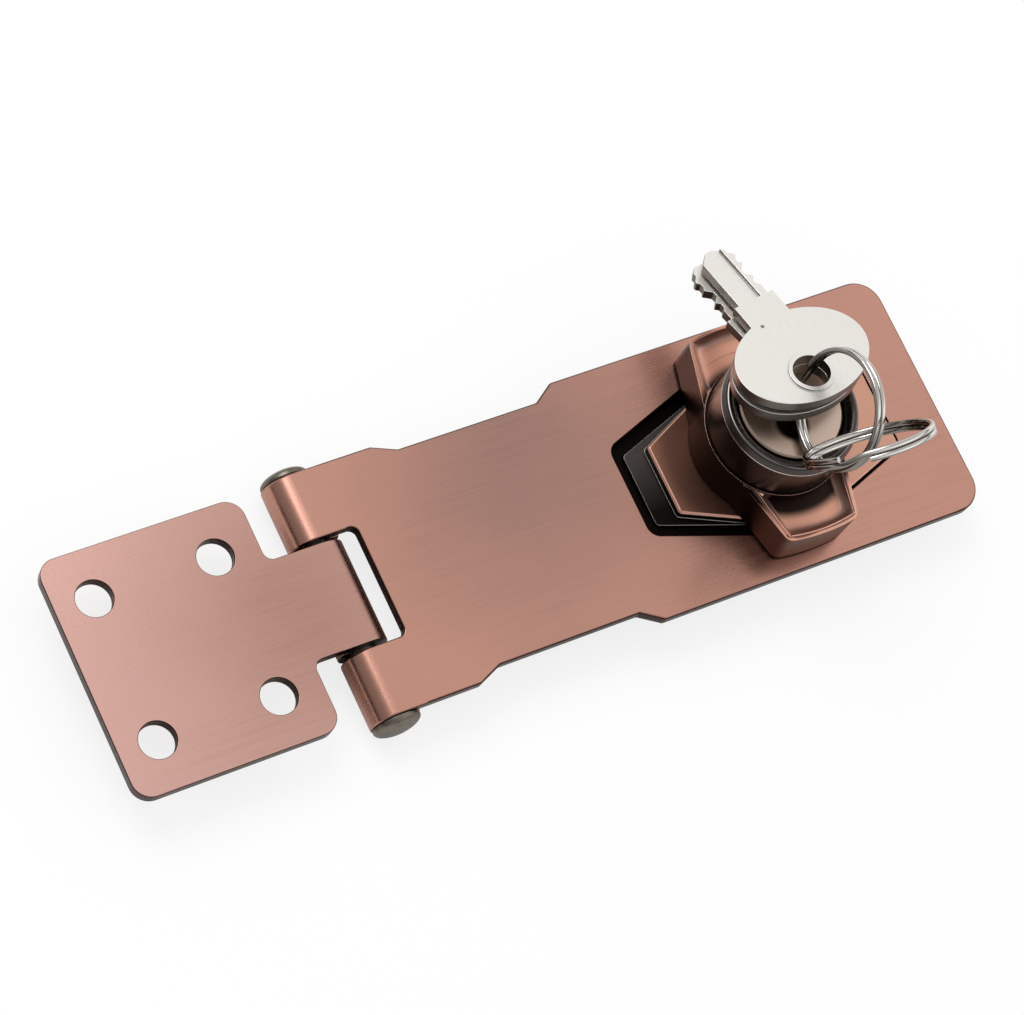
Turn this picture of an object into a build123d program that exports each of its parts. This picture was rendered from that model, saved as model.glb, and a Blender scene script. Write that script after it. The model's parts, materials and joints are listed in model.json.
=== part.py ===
from build123d import *
import math
import os

# A keyed turn-knob hasp: a leaf, a slotted strap on a riveted pin, and a base with a
# locking knob that is turned across the slot. All sizes are in millimetres. The origin is
# on the mounting surface under the lock axis, +X towards the strap's free end, +Z up.

# Strap
SHEET = 2.0
LOCK_TO_END = 32.1
LOCK_TO_PIN = 72.0
STRAP_LOCK_WIDTH = 41.0
STRAP_WAIST_WIDTH = 36.4
STRAP_HINGE_WIDTH = 39.8
HINGE_STEP_START = 13.3
HINGE_STEP_RUN = 4.0
LOCK_STEP_START = 41.4
LOCK_STEP_RUN = 3.5
STEP_FILLET = 1.6
STRAP_CORNER = 4.4

# Knuckles, pin and notch
PIN_DIAMETER = 3.9
PIN_CLEARANCE = 0.05
PIN_HEAD_DIAMETER = 7.6
PIN_HEAD_HEIGHT = 1.8
PIN_HEAD_RIM = 0.5
PIN_HEAD_CROWN = 0.55
NOTCH_WIDTH = 18.2
NOTCH_EDGE = 5.8
NOTCH_FILLET = 1.2
TONGUE_GAP = 0.8
ROLL_OPENING = 23.0

# Leaf
LEAF_WIDTH = 38.2
LEAF_LENGTH = 42.0
LEAF_SHOULDER = 9.3
LEAF_CORNER = 3.0
LEAF_NECK_FILLET = 1.5
LEAF_HOLE_DIAMETER = 5.7
LEAF_HOLE_PITCH_X = 19.4
LEAF_HOLE_PITCH_Y = 22.8
LEAF_HOLE_MARGIN = 6.3

# Slot in the strap, and the two hexagon steps of the base that stand in it
SLOT_HALF_LENGTH = 22.9
SLOT_END_HALF = 7.5
SLOT_FLANK = 18.5
SLOT_CORNER = 2.0
LEDGE_CLEARANCE = 2.0
LEDGE_BELOW_STRAP = 1.2
BOSS_HALF_LENGTH = 17.2
BOSS_END_HALF = 5.8
BOSS_FLANK = 24.0
BOSS_ABOVE_STRAP = 0.3
HEXAGON_CORNER = 0.8
BOSS_EDGE = 0.35

# Base
FLANGE_CORNER = 5.0
FLANGE_SCREW_MARGIN_X = 4.7
FLANGE_SCREW_MARGIN_Y = 4.6
BASE_SCREW_DIAMETER = 4.2
BASE_SCREW_HEAD = 7.6
BASE_SCREW_PITCH_X = 43.6
BASE_SCREW_PITCH_Y = 24.8
REAR_RECESS_RADIUS = 12.5
REAR_RECESS_DEPTH = 2.6

# Knob
KNOB_GAP = 0.3
WING_REACH = 17.5
WING_TIP_HALF = 6.4
WING_FLANK = 14.0
WING_HEIGHT = 6.7
WING_TIP_BULGE = 0.6
WING_CORNER = 1.6
DRUM_RADIUS = 11.3
DRUM_HEIGHT = 7.2
SCOOP_DEPTH = 2.6
SCOOP_FACETS = 3
SCOOP_INNER_RADIUS = 10.6
SCOOP_LIP = 0.9
SCOOP_TIP_HALF = 5.2
SCOOP_ROOT_HALF = 7.2
HUB_RADIUS = 9.5
HUB_CLEARANCE = 0.05
HUB_END = 1.0
HUB_FLOOR = 3.35

# Cylinder, collar and plug
SEAT_DEPTH = 2.6
SHELL_RADIUS = 7.6
SHELL_HEAD_RADIUS = 8.6
FIT = 0.05
COLLAR_RADIUS = 11.0
COLLAR_HEIGHT = 8.1
COLLAR_RIM_BEVEL = 0.5
COLLAR_INNER_BEVEL = 1.0
FACE_BELOW_COLLAR = 0.7
PLUG_HEAD_RADIUS = 8.3
PLUG_HEAD_THICKNESS = 1.4
PLUG_RADIUS = 6.0
PLUG_CLEARANCE = 0.05
PLUG_FACE_BEVEL = 0.3
KEYWAY_LENGTH = 6.5
KEYWAY_WIDTH = 2.0
KEYWAY_DEPTH = 11.8
WARD_CLEARANCE = 0.12
AXIAL_PLAY = 0.05

# Wafers and their springs
WAFER_COUNT = 4
WAFER_PITCH = 2.3
FIRST_WAFER_BELOW_FACE = 2.7
WAFER_THICKNESS = 0.8
WAFER_WIDTH = 4.4
WAFER_LENGTH = 10.8
WAFER_WINDOW_WIDTH = 2.4
WAFER_WINDOW_LENGTH = 6.9
WAFER_SLIDE_GAP = 0.05
WAFER_EAR_REACH = 1.2
WAFER_EAR_LENGTH = 0.9
BROACH_GAP = 0.3
BROACH_DEPTH = 1.0
SPRING_RADIUS = 0.55
SPRING_WIRE = 0.12
SPRING_LENGTH = 3.2
SPRING_TURNS = 4
SPRING_SIDES = 6
SPRING_GAP = 0.1

# Tail pin, bolt and clips
TAIL_THROW_RADIUS = 1.9
TAIL_PIN_RADIUS = 1.0
TAIL_CLEARANCE = 0.12
TAIL_END_GAP = 0.1
PLUG_TO_BOLT = 0.4
BOLT_THICKNESS = 2.2
BOLT_WIDTH = 6.0
BOLT_INNER_END = 5.2
BOLT_SET_BACK = 0.2
BOLT_CLEARANCE = 0.05
POCKET_END_GAP = 0.3
CLIP_THICKNESS = 0.6
CLIP_GROOVE_DEPTH = 0.8
CLIP_PROUD = 1.0
CLIP_OPENING = 70.0
CLIP_SIDES = 32
PLUG_CLIP_ABOVE_END = 0.5
CIRCLIP_THICKNESS = 0.8
CIRCLIP_GROOVE_DEPTH = 0.7
CIRCLIP_PROUD = 1.6
CIRCLIP_ABOVE_END = 0.7

# Keys
KEY_THICKNESS = 1.7
KEY_BOW_WIDTH = 22.8
KEY_BOW_LENGTH = 16.6
KEY_HOLE_DIAMETER = 5.8
KEY_HOLE_ASIDE = 0.8
KEY_HOLE_BACK = 0.35
KEY_BOW_CENTRE = 2.9
KEY_HOLE_RIM = 0.7
KEY_HOLE_RIM_HEIGHT = 0.3
KEY_NECK_WIDTH = 7.4
KEY_NECK_END = 15.0
KEY_BLADE_WIDTH = 5.6
KEY_TIP = 25.6
KEY_TIP_BEVEL = 1.6
KEY_CUT_DEPTHS = (0.5, 1.0, 0.4, 0.8)
KEY_CUT_FLAT = 0.7
KEY_GROOVE_WIDTH = 1.1
KEY_GROOVE_DEPTH = 0.5
KEY_GROOVE_OFFSET = 0.9
KEY_TILT = 14.0
KEY_GAP = 0.12
KEY_SPREAD = 4.0
KEY_HEADING = 97.2
KEY_HOLE_X = 2.7
KEY_HOLE_Y = 1.75

# Rings: places and facings are measured across, along and out from the under key
RING_WIRE = 0.9
RING_SIDES = 24
KEY_RING_RADIUS = 8.83
KEY_RING_CENTRE = (-2.03, -8.41, 4.61)
KEY_RING_FACING = (0.915, -0.198, -0.351)
LINK_RING_RADIUS = 9.6
LINK_RING_CENTRE = (-2.42, -15.88, 5.09)
LINK_RING_FACING = (0.095, 0.766, 0.636)

PARTS = "parts"
os.makedirs(PARTS, exist_ok=True)


def write_part(part, node):
    """Labels a finished piece and writes it under its node's name."""
    part.label = node
    export_step(part, f"{PARTS}/{node}.step")


def hexagon_points(half_length, end_half, flank):
    """Corners of a hexagon drawn out along X: two short ends and four sloping flanks."""
    middle_half = end_half + half_length * math.tan(math.radians(flank))
    return [
        (-half_length, -end_half),
        (0, -middle_half),
        (half_length, -end_half),
        (half_length, end_half),
        (0, middle_half),
        (-half_length, end_half),
    ]


def ring_sector(inner, outer, opening, heading):
    """Draws a flat open clip in the active sketch, with its opening facing heading."""
    RegularPolygon(outer, CLIP_SIDES)
    RegularPolygon(inner, CLIP_SIDES, major_radius=False, mode=Mode.SUBTRACT)
    reach = 2 * outer
    half = math.radians(opening / 2)
    middle = math.radians(heading)
    tip_a = (reach * math.cos(middle - half), reach * math.sin(middle - half))
    tip_b = (reach * math.cos(middle + half), reach * math.sin(middle + half))
    Polygon((0, 0), tip_a, tip_b, align=None, mode=Mode.SUBTRACT)


# Heights above the mounting surface
roll_inner = PIN_DIAMETER / 2 + PIN_CLEARANCE
roll_outer = roll_inner + SHEET
axis_height = roll_outer
strap_top = axis_height + roll_outer
strap_underside = strap_top - SHEET
ledge_top = strap_top - LEDGE_BELOW_STRAP
boss_top = strap_top + BOSS_ABOVE_STRAP
knob_bottom = boss_top + KNOB_GAP
wing_top = knob_bottom + WING_HEIGHT
drum_top = knob_bottom + DRUM_HEIGHT
seat_height = drum_top - SEAT_DEPTH
collar_top = drum_top + COLLAR_HEIGHT
plug_face = collar_top - FACE_BELOW_COLLAR
plug_shoulder = plug_face - PLUG_HEAD_THICKNESS
shell_top = plug_shoulder - AXIAL_PLAY
bolt_bottom = HUB_FLOOR + BOLT_CLEARANCE
bolt_top = bolt_bottom + BOLT_THICKNESS
plug_end = bolt_top + PLUG_TO_BOLT
plug_clip_bottom = plug_end + PLUG_CLIP_ABOVE_END
shell_end = plug_clip_bottom + CLIP_THICKNESS + 2 * AXIAL_PLAY

# Places along X: the hinge axis runs along Y here, and the strap's steps follow it
hinge_x = -LOCK_TO_PIN
hinge_step_x = hinge_x + HINGE_STEP_START
lock_step_x = hinge_x + LOCK_STEP_START
tongue_width = NOTCH_WIDTH - 2 * TONGUE_GAP
knuckle_width = (STRAP_HINGE_WIDTH - NOTCH_WIDTH) / 2
knuckle_middle = (STRAP_HINGE_WIDTH + NOTCH_WIDTH) / 4
roll_plane = Plane(origin=(hinge_x, 0, axis_height), x_dir=(1, 0, 0), z_dir=(0, -1, 0))
hinge_axis = Axis((hinge_x, 0, axis_height), (0, 1, 0))


def roll_sketch(side):
    """Draws the roll round the pin in the active sketch, seen along the pin.

    The plate leaves the top of the roll towards side, +1 or -1 along X. The sheet goes
    round the other way and stops under the plate, so only the wedge between is open.
    """
    Circle(roll_outer)
    Circle(roll_inner, mode=Mode.SUBTRACT)
    reach = 2 * roll_outer
    slit = math.radians(ROLL_OPENING)
    lip = (side * reach * math.cos(slit), reach * math.sin(slit))
    Polygon((0, 0), lip, (side * reach, reach), (0, reach), align=None, mode=Mode.SUBTRACT)


# Strap: one stamped plate with a hexagon slot, rolled into two knuckles
with BuildPart() as hasp_strap:
    with BuildSketch(Plane.XY.offset(strap_underside)) as strap_outline:
        with BuildLine():
            Polyline(
                (hinge_x, STRAP_HINGE_WIDTH / 2),
                (hinge_step_x, STRAP_HINGE_WIDTH / 2),
                (hinge_step_x + HINGE_STEP_RUN, STRAP_WAIST_WIDTH / 2),
                (lock_step_x, STRAP_WAIST_WIDTH / 2),
                (lock_step_x + LOCK_STEP_RUN, STRAP_LOCK_WIDTH / 2),
                (LOCK_TO_END, STRAP_LOCK_WIDTH / 2),
                (LOCK_TO_END, -STRAP_LOCK_WIDTH / 2),
                (lock_step_x + LOCK_STEP_RUN, -STRAP_LOCK_WIDTH / 2),
                (lock_step_x, -STRAP_WAIST_WIDTH / 2),
                (hinge_step_x + HINGE_STEP_RUN, -STRAP_WAIST_WIDTH / 2),
                (hinge_step_x, -STRAP_HINGE_WIDTH / 2),
                (hinge_x, -STRAP_HINGE_WIDTH / 2),
                close=True,
            )
        make_face()
        corner_groups = strap_outline.vertices().group_by(Axis.X)
        end_corners = corner_groups[-1]
        step_corners = [corner for group in corner_groups[1:-1] for corner in group]
        fillet(end_corners, STRAP_CORNER)
        fillet(step_corners, STEP_FILLET)
    extrude(amount=SHEET)
    with BuildSketch(Plane.XY.offset(strap_underside)) as notch_outline:
        Polygon(
            (hinge_x - roll_outer, -NOTCH_WIDTH / 2),
            (hinge_x + NOTCH_EDGE, -NOTCH_WIDTH / 2),
            (hinge_x + NOTCH_EDGE, NOTCH_WIDTH / 2),
            (hinge_x - roll_outer, NOTCH_WIDTH / 2),
            align=None,
        )
        fillet(notch_outline.vertices().group_by(Axis.X)[-1], NOTCH_FILLET)
    extrude(amount=SHEET, mode=Mode.SUBTRACT)
    with BuildSketch(Plane.XY.offset(strap_underside)) as slot_outline:
        slot_corners = hexagon_points(SLOT_HALF_LENGTH, SLOT_END_HALF, SLOT_FLANK)
        Polygon(*slot_corners, align=None)
        fillet(slot_outline.vertices(), SLOT_CORNER)
    extrude(amount=SHEET, mode=Mode.SUBTRACT)
    for knuckle_side in (-1, 1):
        with BuildSketch(roll_plane.offset(-knuckle_side * knuckle_middle)):
            roll_sketch(1)
        extrude(amount=knuckle_width / 2, both=True)
write_part(hasp_strap.part, "hasp_strap")

# Leaf: a T-shaped plate with four screw holes, its tongue rolled between the knuckles
leaf_end_x = hinge_x - LEAF_LENGTH
leaf_shoulder_x = hinge_x - LEAF_SHOULDER
leaf_hole_middle_x = leaf_end_x + LEAF_HOLE_MARGIN + LEAF_HOLE_PITCH_X / 2
with BuildPart() as hinge_leaf:
    with BuildSketch(Plane.XY.offset(strap_underside)) as leaf_outline:
        with BuildLine():
            Polyline(
                (hinge_x, tongue_width / 2),
                (leaf_shoulder_x, tongue_width / 2),
                (leaf_shoulder_x, LEAF_WIDTH / 2),
                (leaf_end_x, LEAF_WIDTH / 2),
                (leaf_end_x, -LEAF_WIDTH / 2),
                (leaf_shoulder_x, -LEAF_WIDTH / 2),
                (leaf_shoulder_x, -tongue_width / 2),
                (hinge_x, -tongue_width / 2),
                close=True,
            )
        make_face()
        shoulder_corners = leaf_outline.vertices().group_by(Axis.X)[1].sort_by(Axis.Y)
        leaf_corners = leaf_outline.vertices().group_by(Axis.X)[0]
        fillet(leaf_corners + [shoulder_corners[0], shoulder_corners[-1]], LEAF_CORNER)
        neck_corners = [
            corner
            for corner in leaf_outline.vertices()
            if abs(abs(corner.Y) - tongue_width / 2) < FIT and corner.X < hinge_x - roll_outer
        ]
        fillet(neck_corners, LEAF_NECK_FILLET)
        with Locations((leaf_hole_middle_x, 0)):
            with GridLocations(LEAF_HOLE_PITCH_X, LEAF_HOLE_PITCH_Y, 2, 2):
                Circle(LEAF_HOLE_DIAMETER / 2, mode=Mode.SUBTRACT)
    extrude(amount=SHEET)
    with BuildSketch(roll_plane):
        roll_sketch(-1)
    extrude(amount=tongue_width / 2, both=True)
write_part(hinge_leaf.part, "hinge_leaf")

# Hinge pin: a plain pin with a head riveted over each end
pin_half = STRAP_HINGE_WIDTH / 2
head_radius = PIN_HEAD_DIAMETER / 2
with BuildPart() as hinge_pin:
    with BuildSketch(Plane(origin=(hinge_x, 0, axis_height), z_dir=(0, 0, 1))):
        Polygon(
            (0, 0),
            (PIN_DIAMETER / 2, 0),
            (PIN_DIAMETER / 2, pin_half),
            (head_radius, pin_half),
            (head_radius, pin_half + PIN_HEAD_RIM),
            (head_radius * PIN_HEAD_CROWN, pin_half + PIN_HEAD_HEIGHT),
            (0, pin_half + PIN_HEAD_HEIGHT),
            align=None,
        )
        mirror(about=Plane.XZ)
    revolve(axis=hinge_axis)
write_part(hinge_pin.part, "hinge_pin")

# Base: a cast flange under the strap, and two hexagon steps that rise through the slot
slot_shrink = LEDGE_CLEARANCE * math.tan(math.radians(45 - SLOT_FLANK / 2))
ledge_points = hexagon_points(
    SLOT_HALF_LENGTH - LEDGE_CLEARANCE, SLOT_END_HALF - slot_shrink, SLOT_FLANK
)
boss_points = hexagon_points(BOSS_HALF_LENGTH, BOSS_END_HALF, BOSS_FLANK)
flange_length = BASE_SCREW_PITCH_X + 2 * FLANGE_SCREW_MARGIN_X
flange_width = BASE_SCREW_PITCH_Y + 2 * FLANGE_SCREW_MARGIN_Y
bolt_travel = 2 * TAIL_THROW_RADIUS * math.sin(math.radians(45))
bolt_tip = HUB_RADIUS - BOLT_SET_BACK
pocket_reach = bolt_tip + bolt_travel + POCKET_END_GAP
pocket_half = BOLT_WIDTH / 2 + BOLT_CLEARANCE
with BuildPart() as lock_base:
    with BuildSketch():
        RectangleRounded(flange_length, flange_width, FLANGE_CORNER)
    extrude(amount=strap_underside)
    with BuildSketch(Plane.XY.offset(strap_underside)) as ledge_outline:
        Polygon(*ledge_points, align=None)
        fillet(ledge_outline.vertices(), HEXAGON_CORNER)
    extrude(amount=ledge_top - strap_underside)
    with BuildSketch(Plane.XY.offset(ledge_top)) as boss_outline:
        Polygon(*boss_points, align=None)
        fillet(boss_outline.vertices(), HEXAGON_CORNER)
    extrude(amount=boss_top - ledge_top)
    boss_rim = lock_base.faces().sort_by(Axis.Z)[-1].outer_wire().edges()
    chamfer(boss_rim, BOSS_EDGE)
    with BuildSketch():
        Circle(REAR_RECESS_RADIUS)
    extrude(amount=REAR_RECESS_DEPTH, mode=Mode.SUBTRACT)
    with BuildSketch(Plane.XY.offset(REAR_RECESS_DEPTH)):
        Circle(HUB_RADIUS + HUB_CLEARANCE)
    extrude(amount=boss_top - REAR_RECESS_DEPTH, mode=Mode.SUBTRACT)
    with BuildSketch(Plane.XY.offset(bolt_bottom - BOLT_CLEARANCE)):
        with PolarLocations(pocket_reach / 2, 2, angular_range=90, endpoint=True):
            Rectangle(pocket_reach, 2 * pocket_half)
    extrude(amount=BOLT_THICKNESS + 2 * BOLT_CLEARANCE, mode=Mode.SUBTRACT)
    with Locations(Plane.XY.offset(strap_underside)):
        with GridLocations(BASE_SCREW_PITCH_X, BASE_SCREW_PITCH_Y, 2, 2):
            CounterSinkHole(BASE_SCREW_DIAMETER / 2, BASE_SCREW_HEAD / 2)
write_part(lock_base.part, "lock_base")

# Cutter for the scooped tops of the two wings: a ring that rises outwards in flat steps of
# slope along an arc, cut down to two pockets
scoop_floor = wing_top - SCOOP_DEPTH
scoop_outer = WING_REACH - SCOOP_LIP
with BuildPart() as wing_scoops:
    with BuildSketch(Plane.XY.offset(scoop_floor)):
        Polygon(
            (-SCOOP_ROOT_HALF, SCOOP_INNER_RADIUS / 2),
            (SCOOP_ROOT_HALF, SCOOP_INNER_RADIUS / 2),
            (SCOOP_TIP_HALF, WING_REACH),
            (-SCOOP_TIP_HALF, WING_REACH),
            align=None,
        )
        mirror(about=Plane.XZ)
    extrude(amount=2 * SCOOP_DEPTH)
    with BuildSketch(Plane.XZ):
        with BuildLine():
            dish = ThreePointArc(
                (SCOOP_INNER_RADIUS / 2, scoop_floor),
                ((SCOOP_INNER_RADIUS + scoop_outer) / 2, scoop_floor + SCOOP_DEPTH / 5),
                (scoop_outer, wing_top),
                mode=Mode.PRIVATE,
            )
            Polyline(
                *[dish @ (step / SCOOP_FACETS) for step in range(SCOOP_FACETS + 1)],
                (scoop_outer, wing_top + SCOOP_DEPTH),
                (SCOOP_INNER_RADIUS / 2, wing_top + SCOOP_DEPTH),
                close=True,
            )
        make_face()
    revolve(axis=Axis.Z, mode=Mode.INTERSECT)

# Knob: two wings on a round drum, and a hub that turns in the base
wing_middle_half = WING_TIP_HALF + WING_REACH * math.tan(math.radians(WING_FLANK))
circlip_bottom = HUB_END + CIRCLIP_ABOVE_END
circlip_groove_radius = HUB_RADIUS - CIRCLIP_GROOVE_DEPTH
with BuildPart() as turn_knob:
    with BuildSketch(Plane.XY.offset(knob_bottom)) as wing_outline:
        with BuildLine():
            far_tip = ThreePointArc(
                (WING_TIP_HALF, WING_REACH),
                (0, WING_REACH + WING_TIP_BULGE),
                (-WING_TIP_HALF, WING_REACH),
            )
            near_tip = ThreePointArc(
                (-WING_TIP_HALF, -WING_REACH),
                (0, -WING_REACH - WING_TIP_BULGE),
                (WING_TIP_HALF, -WING_REACH),
            )
            Polyline(far_tip @ 1, (-wing_middle_half, 0), near_tip @ 0)
            Polyline(near_tip @ 1, (wing_middle_half, 0), far_tip @ 0)
        make_face()
        tips = [corner for corner in wing_outline.vertices() if abs(corner.Y) > DRUM_RADIUS]
        fillet(tips, WING_CORNER)
    extrude(amount=WING_HEIGHT)
    add(wing_scoops.part, mode=Mode.SUBTRACT)
    with BuildSketch(Plane.XY.offset(knob_bottom)):
        Circle(DRUM_RADIUS)
    extrude(amount=DRUM_HEIGHT)
    with BuildSketch(Plane.XY.offset(HUB_END)):
        Circle(HUB_RADIUS)
    extrude(amount=knob_bottom - HUB_END)
    with BuildSketch(Plane.XY.offset(HUB_FLOOR)):
        Circle(SHELL_RADIUS + FIT)
    extrude(amount=drum_top - HUB_FLOOR, mode=Mode.SUBTRACT)
    with BuildSketch(Plane.XY.offset(seat_height)):
        Circle(SHELL_HEAD_RADIUS + FIT)
    extrude(amount=SEAT_DEPTH, mode=Mode.SUBTRACT)
    with BuildSketch(Plane.XY.offset(bolt_bottom - BOLT_CLEARANCE)):
        with Locations((HUB_RADIUS / 2, 0)):
            Rectangle(2 * HUB_RADIUS, 2 * pocket_half)
        Rectangle(HUB_RADIUS, 2 * pocket_half, align=(Align.MAX, Align.CENTER), mode=Mode.SUBTRACT)
    extrude(amount=BOLT_THICKNESS + 2 * BOLT_CLEARANCE, mode=Mode.SUBTRACT)
    with BuildSketch(Plane.XY.offset(circlip_bottom)):
        Circle(2 * HUB_RADIUS)
        Circle(circlip_groove_radius, mode=Mode.SUBTRACT)
    extrude(amount=CIRCLIP_THICKNESS, mode=Mode.SUBTRACT)
write_part(turn_knob.part, "turn_knob")

# Collar: a turned ring that stands on the drum, round the cylinder's head
collar_inner = SHELL_HEAD_RADIUS + FIT
with BuildPart() as lock_collar:
    with BuildSketch(Plane.XZ) as collar_section:
        Polygon(
            (collar_inner, drum_top),
            (COLLAR_RADIUS, drum_top),
            (COLLAR_RADIUS, collar_top),
            (collar_inner, collar_top),
            align=None,
        )
        top_corners = collar_section.vertices().group_by(Axis.Y)[-1].sort_by(Axis.X)
        chamfer(top_corners[-1], COLLAR_RIM_BEVEL)
        chamfer(top_corners[0], COLLAR_INNER_BEVEL)
    revolve(axis=Axis.Z)
write_part(lock_collar.part, "lock_collar")

# Cylinder shell: a turned sleeve with two broached grooves for the wafers
wafer_top = plug_face - FIRST_WAFER_BELOW_FACE + WAFER_THICKNESS
broach_half = WAFER_WIDTH / 2 + BROACH_GAP
with BuildPart() as cylinder_shell:
    with BuildSketch(Plane.XZ):
        Polygon(
            (PLUG_RADIUS + PLUG_CLEARANCE, shell_end),
            (SHELL_RADIUS, shell_end),
            (SHELL_RADIUS, seat_height),
            (SHELL_HEAD_RADIUS, seat_height),
            (SHELL_HEAD_RADIUS, shell_top),
            (PLUG_RADIUS + PLUG_CLEARANCE, shell_top),
            align=None,
        )
    revolve(axis=Axis.Z)
    with BuildSketch(Plane.XY.offset(shell_end)):
        Rectangle(2 * broach_half, 2 * (PLUG_RADIUS + BROACH_DEPTH))
    extrude(amount=wafer_top - shell_end, mode=Mode.SUBTRACT)
write_part(cylinder_shell.part, "cylinder_shell")

# Plug: head, barrel, keyway, wafer slots, spring pockets and an eccentric tail pin
wafer_heights = [
    plug_face - FIRST_WAFER_BELOW_FACE - index * WAFER_PITCH for index in range(WAFER_COUNT)
]
spring_x = WAFER_WIDTH / 2 + WAFER_SLIDE_GAP + SPRING_GAP + SPRING_RADIUS
ear_start = SPRING_LENGTH / 2 + FIT
ear_end = ear_start + WAFER_EAR_LENGTH
pocket_start_x = WAFER_WIDTH / 2
pocket_end_x = spring_x + SPRING_RADIUS + SPRING_GAP
slot_height = WAFER_THICKNESS + 2 * WAFER_SLIDE_GAP
spring_pocket_height = 2 * (SPRING_RADIUS + SPRING_GAP)
clip_groove_radius = PLUG_RADIUS - CLIP_GROOVE_DEPTH
ward_reach = (KEYWAY_WIDTH - KEY_THICKNESS) / 2 + KEY_GROOVE_DEPTH - WARD_CLEARANCE
ward_length = KEY_GROOVE_WIDTH - 2 * WARD_CLEARANCE
tail_angle = math.radians(225)
tail_x = TAIL_THROW_RADIUS * math.cos(tail_angle)
tail_y = TAIL_THROW_RADIUS * math.sin(tail_angle)
with BuildPart() as key_plug:
    with BuildSketch(Plane.XZ) as plug_section:
        Polygon(
            (0, plug_end),
            (PLUG_RADIUS, plug_end),
            (PLUG_RADIUS, plug_clip_bottom),
            (clip_groove_radius, plug_clip_bottom),
            (clip_groove_radius, plug_clip_bottom + CLIP_THICKNESS),
            (PLUG_RADIUS, plug_clip_bottom + CLIP_THICKNESS),
            (PLUG_RADIUS, plug_shoulder),
            (PLUG_HEAD_RADIUS, plug_shoulder),
            (PLUG_HEAD_RADIUS, plug_face),
            (0, plug_face),
            align=None,
        )
        face_corner = plug_section.vertices().group_by(Axis.Y)[-1].sort_by(Axis.X)[-1]
        chamfer(face_corner, PLUG_FACE_BEVEL)
    revolve(axis=Axis.Z)
    with BuildSketch(Plane.XY.offset(plug_face)):
        Rectangle(KEYWAY_WIDTH, KEYWAY_LENGTH)
        with Locations((KEYWAY_WIDTH / 2, KEY_GROOVE_OFFSET)):
            Rectangle(2 * ward_reach, ward_length, mode=Mode.SUBTRACT)
    extrude(amount=-KEYWAY_DEPTH, mode=Mode.SUBTRACT)
    for wafer_height in wafer_heights:
        with BuildSketch(Plane.XY.offset(wafer_height - slot_height / 2)):
            Rectangle(WAFER_WIDTH + 2 * WAFER_SLIDE_GAP, 2 * SHELL_RADIUS)
        extrude(amount=slot_height, mode=Mode.SUBTRACT)
        with BuildSketch(Plane.XY.offset(wafer_height - spring_pocket_height / 2)):
            Polygon(
                (pocket_start_x, -SPRING_LENGTH / 2 - FIT),
                (pocket_end_x, -SPRING_LENGTH / 2 - FIT),
                (pocket_end_x, ear_end + FIT),
                (pocket_start_x, ear_end + FIT),
                align=None,
            )
        extrude(amount=spring_pocket_height, mode=Mode.SUBTRACT)
    with BuildSketch(Plane.XY.offset(plug_end)):
        with Locations((tail_x, tail_y)):
            Circle(TAIL_PIN_RADIUS)
    extrude(amount=-(plug_end - bolt_bottom - TAIL_END_GAP))
write_part(key_plug.part, "key_plug")

# Wafers stand level with the plug's side, as a key that fits holds them
for index, wafer_height in enumerate(wafer_heights, start=1):
    with BuildPart() as wafer:
        with BuildSketch(Plane.XY.offset(wafer_height - WAFER_THICKNESS / 2)):
            Rectangle(WAFER_WIDTH, WAFER_LENGTH)
            with Locations((WAFER_WIDTH / 2, ear_start + WAFER_EAR_LENGTH / 2)):
                Rectangle(2 * WAFER_EAR_REACH, WAFER_EAR_LENGTH)
            Rectangle(WAFER_WINDOW_WIDTH, WAFER_WINDOW_LENGTH, mode=Mode.SUBTRACT)
        extrude(amount=WAFER_THICKNESS)
    write_part(wafer.part, f"wafer_{index}")

# Each wafer's spring lies beside it and pushes on its ear: a stack of close-wound turns
turn_pitch = SPRING_LENGTH / SPRING_TURNS
for index, wafer_height in enumerate(wafer_heights, start=1):
    with BuildPart() as wafer_spring:
        for turn in range(SPRING_TURNS):
            turn_start = -SPRING_LENGTH / 2 + turn * turn_pitch
            spring_plane = Plane(origin=(spring_x, turn_start, wafer_height), z_dir=(0, 1, 0))
            with BuildSketch(spring_plane):
                RegularPolygon(SPRING_RADIUS, SPRING_SIDES)
            extrude(amount=turn_pitch - SPRING_WIRE)
            with BuildSketch(spring_plane.offset(turn_pitch - SPRING_WIRE)):
                RegularPolygon(SPRING_RADIUS - SPRING_WIRE, SPRING_SIDES)
            extrude(amount=SPRING_WIRE)
    write_part(wafer_spring.part, f"wafer_spring_{index}")

# Plug clip: a spring-steel ring in the plug's groove, under the shell
with BuildPart() as plug_clip:
    with BuildSketch(Plane.XY.offset(plug_clip_bottom)):
        ring_sector(clip_groove_radius + FIT, clip_groove_radius + CLIP_PROUD + FIT, CLIP_OPENING, 90)
    extrude(amount=CLIP_THICKNESS)
write_part(plug_clip.part, "plug_clip")

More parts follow.
